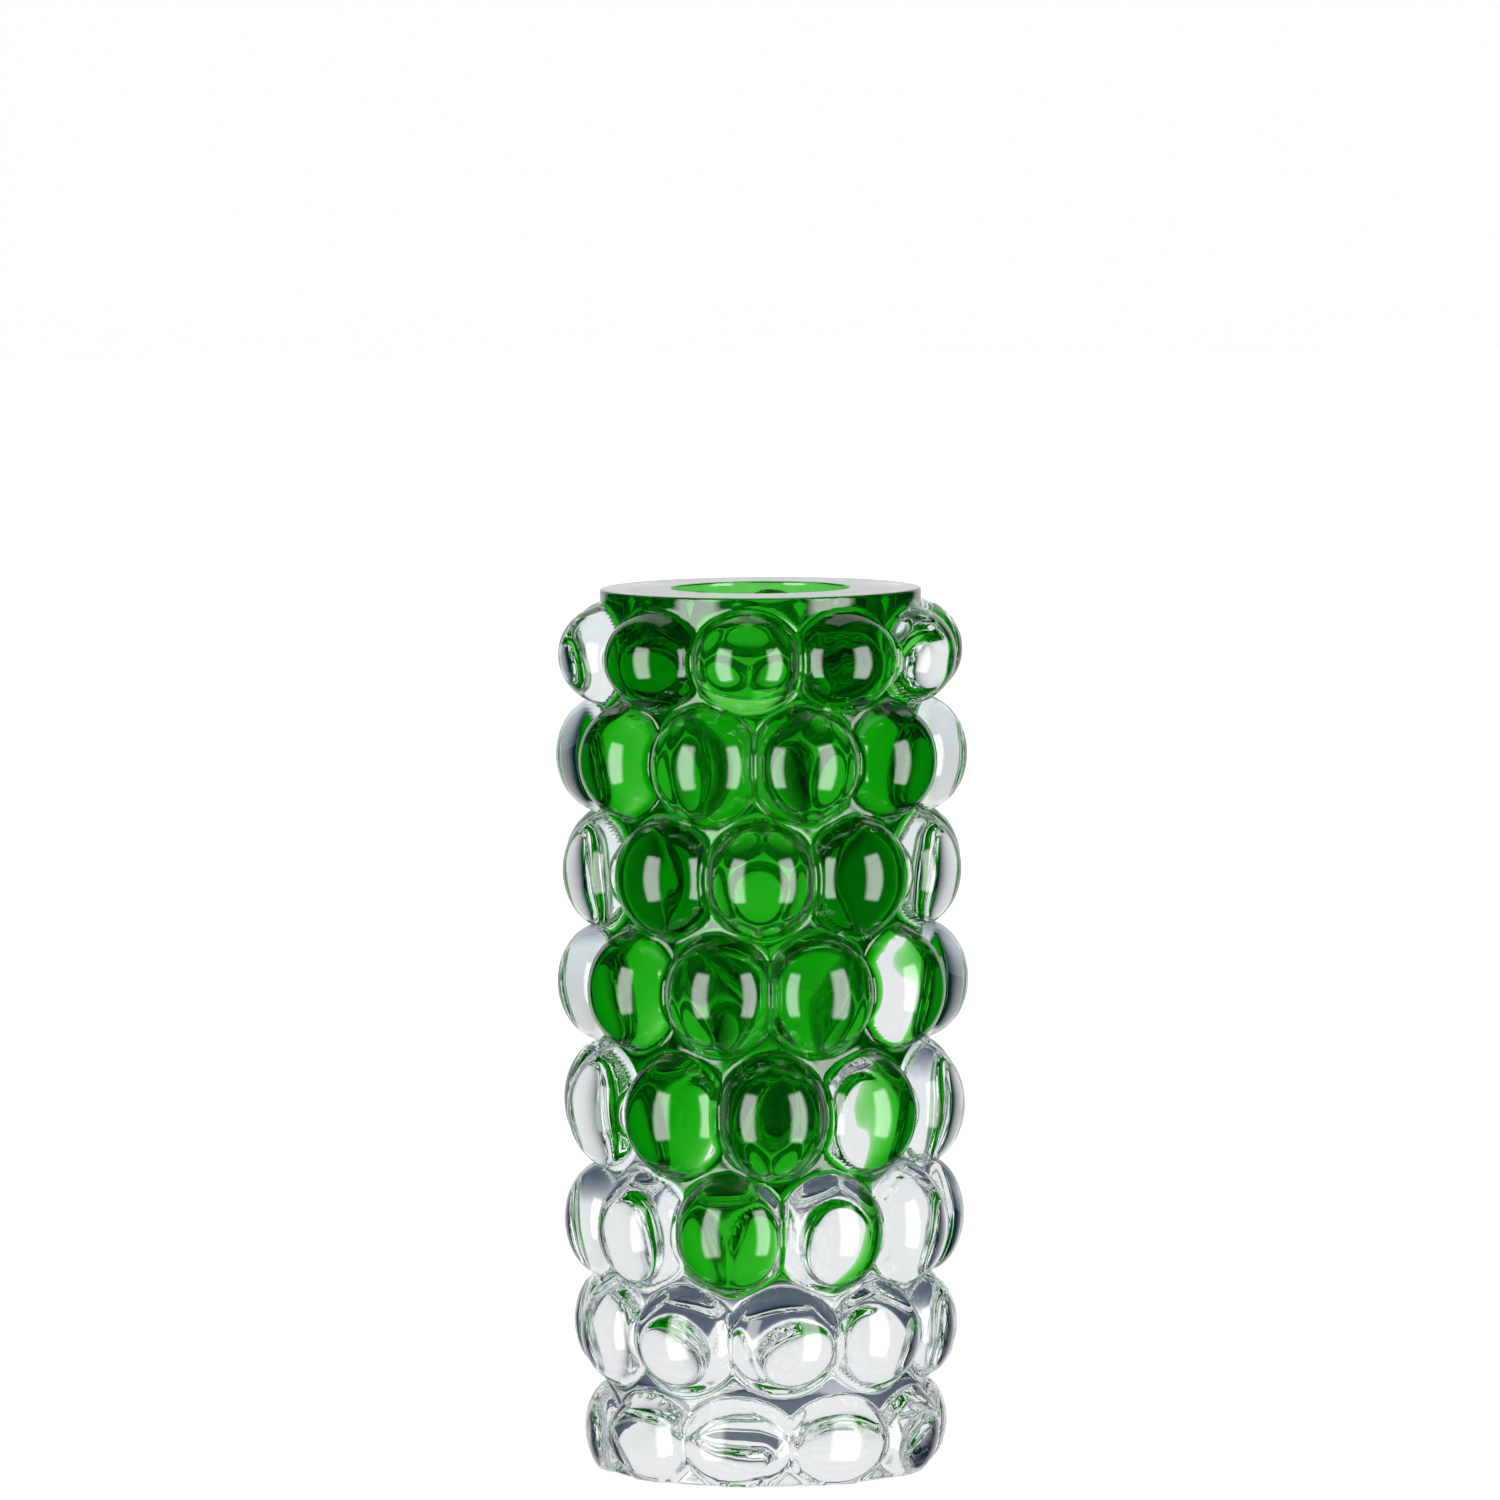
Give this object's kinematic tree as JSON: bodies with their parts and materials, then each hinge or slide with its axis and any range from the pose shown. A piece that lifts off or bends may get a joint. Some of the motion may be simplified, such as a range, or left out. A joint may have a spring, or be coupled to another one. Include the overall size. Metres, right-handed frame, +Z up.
{
  "type": "cased glass bud vase",
  "caption": "Tall cylindrical bud vase of thick clear glass over a green lining, with rings of applied round glass knobs and a heavy solid foot.",
  "frame": {"origin": "on the table, at the centre of the foot", "axes": "+Z up along the vase's axis, -Y is the front"},
  "size_m": [0.07, 0.07, 0.15],
  "materials": {
    "clear_crystal": "clear crystal, fire-polished knobs, ground and polished rim and foot",
    "green_glass": "transparent emerald green glass, smooth blown surface"
  },
  "bodies": {
    "root": {"clear_casing": "clear_crystal", "green_lining": "green_glass", "prunt_ring_1": "clear_crystal", "prunt_ring_2": "clear_crystal", "prunt_ring_3": "clear_crystal", "prunt_ring_4": "clear_crystal", "prunt_ring_5": "clear_crystal", "prunt_ring_6": "clear_crystal", "prunt_ring_7": "clear_crystal", "prunt_ring_8": "clear_crystal"}
  },
  "joints": []
}
